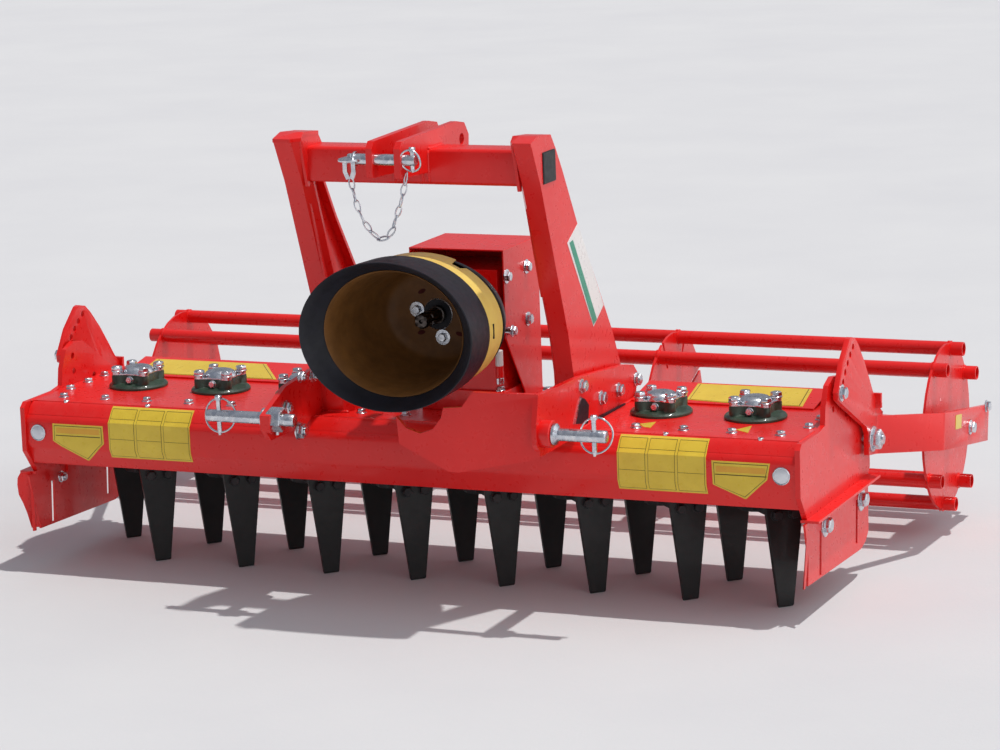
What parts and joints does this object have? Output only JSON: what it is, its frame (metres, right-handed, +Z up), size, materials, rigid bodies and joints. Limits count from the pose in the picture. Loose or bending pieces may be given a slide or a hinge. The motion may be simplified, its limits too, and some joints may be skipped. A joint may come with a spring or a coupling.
{
  "type": "power harrow",
  "caption": "Power harrow for a three-point hitch, with meshed rotors carrying paired knife tines, a gear trough, a headstock and a tube cage roller on swinging arms.",
  "frame": {"origin": "on the ground, at the middle of the machine's width and length", "axes": "+X to the machine's right seen from the hitch end in the picture, +Y from the hitch to the roller, +Z up"},
  "size_m": [2.214, 1.3718, 1.085],
  "materials": {
    "red_paint": "gloss",
    "tine_black": "satin",
    "holder_steel": "worn",
    "zinc": "zinc plated",
    "bare_steel": "machined",
    "green_cast": "painted casting",
    "yellow_plastic": "satin",
    "black_rubber": "matt",
    "black_plastic": "matt",
    "dark_cast": "painted casting"
  },
  "bodies": {
    "frame": {"bar_plugs": "black_plastic", "bearing_caps": "green_cast", "cap_domes": "zinc", "cross_bar": "red_paint", "deflector_left": "red_paint", "deflector_right": "red_paint", "end_plate_left": "red_paint", "end_plate_right": "red_paint", "gear_train": "dark_cast", "gearbox": "red_paint", "gearbox_guard": "red_paint", "hitch_bracket_left": "red_paint", "hitch_bracket_right": "red_paint", "lower_pin_left": "zinc", "lower_pin_right": "zinc", "pivot_bolts": "zinc", "rear_cover_left": "red_paint", "rear_cover_right": "red_paint", "shield_bell": "black_rubber", "shield_cone": "yellow_plastic", "top_link_bracket": "red_paint", "top_link_pin": "zinc", "top_plate": "red_paint", "trough": "red_paint", "upright_left": "red_paint", "upright_right": "red_paint"},
    "rotor_1": {"rotor_1_holder": "holder_steel", "rotor_1_tines": "tine_black"},
    "rotor_2": {"rotor_2_holder": "holder_steel", "rotor_2_tines": "tine_black"},
    "rotor_3": {"rotor_3_holder": "holder_steel", "rotor_3_tines": "tine_black"},
    "rotor_4": {"rotor_4_holder": "holder_steel", "rotor_4_tines": "tine_black"},
    "rotor_5": {"rotor_5_holder": "holder_steel", "rotor_5_tines": "tine_black"},
    "rotor_6": {"rotor_6_holder": "holder_steel", "rotor_6_tines": "tine_black"},
    "rotor_7": {"rotor_7_holder": "holder_steel", "rotor_7_tines": "tine_black"},
    "rotor_8": {"rotor_8_holder": "holder_steel", "rotor_8_tines": "tine_black"},
    "input": {"input_shaft": "bare_steel"},
    "roller_arms": {"roller_arm_left": "red_paint", "roller_arm_right": "red_paint"},
    "roller": {"roller_tubes": "red_paint", "roller_discs": "red_paint", "roller_shaft": "red_paint"}
  },
  "joints": [
    {"name": "rotor_1_spin", "type": "hinge", "parent": "frame", "child": "rotor_1", "pos_m": [-0.7875, -0.188, 0.22], "axis": [0, 0, 1], "continuous": true},
    {"name": "rotor_2_spin", "type": "hinge", "parent": "frame", "child": "rotor_2", "pos_m": [-0.5625, -0.188, 0.22], "axis": [0, 0, 1], "continuous": true},
    {"name": "rotor_3_spin", "type": "hinge", "parent": "frame", "child": "rotor_3", "pos_m": [-0.3375, -0.188, 0.22], "axis": [0, 0, 1], "continuous": true},
    {"name": "rotor_4_spin", "type": "hinge", "parent": "frame", "child": "rotor_4", "pos_m": [-0.1125, -0.188, 0.22], "axis": [0, 0, 1], "continuous": true},
    {"name": "rotor_5_spin", "type": "hinge", "parent": "frame", "child": "rotor_5", "pos_m": [0.1125, -0.188, 0.22], "axis": [0, 0, 1], "continuous": true},
    {"name": "rotor_6_spin", "type": "hinge", "parent": "frame", "child": "rotor_6", "pos_m": [0.3375, -0.188, 0.22], "axis": [0, 0, 1], "continuous": true},
    {"name": "rotor_7_spin", "type": "hinge", "parent": "frame", "child": "rotor_7", "pos_m": [0.5625, -0.188, 0.22], "axis": [0, 0, 1], "continuous": true},
    {"name": "rotor_8_spin", "type": "hinge", "parent": "frame", "child": "rotor_8", "pos_m": [0.7875, -0.188, 0.22], "axis": [0, 0, 1], "continuous": true},
    {"name": "input_spin", "type": "hinge", "parent": "frame", "child": "input", "pos_m": [0.1125, -0.348, 0.655], "axis": [0, -1, 0], "continuous": true},
    {"name": "arm_swing", "type": "hinge", "parent": "frame", "child": "roller_arms", "pos_m": [0, 0.027, 0.322], "axis": [1, 0, 0], "range_deg": [0, 26.5]},
    {"name": "roller_spin", "type": "hinge", "parent": "roller_arms", "child": "roller", "pos_m": [0, 0.489, 0.255], "axis": [1, 0, 0], "continuous": true}
  ],
  "couplings": [
    {"joint": "rotor_1_spin", "follows": "rotor_5_spin", "ratio": 1},
    {"joint": "rotor_2_spin", "follows": "rotor_5_spin", "ratio": -1},
    {"joint": "rotor_3_spin", "follows": "rotor_5_spin", "ratio": 1},
    {"joint": "rotor_4_spin", "follows": "rotor_5_spin", "ratio": -1},
    {"joint": "rotor_6_spin", "follows": "rotor_5_spin", "ratio": -1},
    {"joint": "rotor_7_spin", "follows": "rotor_5_spin", "ratio": 1},
    {"joint": "rotor_8_spin", "follows": "rotor_5_spin", "ratio": -1},
    {"joint": "input_spin", "follows": "rotor_5_spin", "ratio": 1.8}
  ]
}
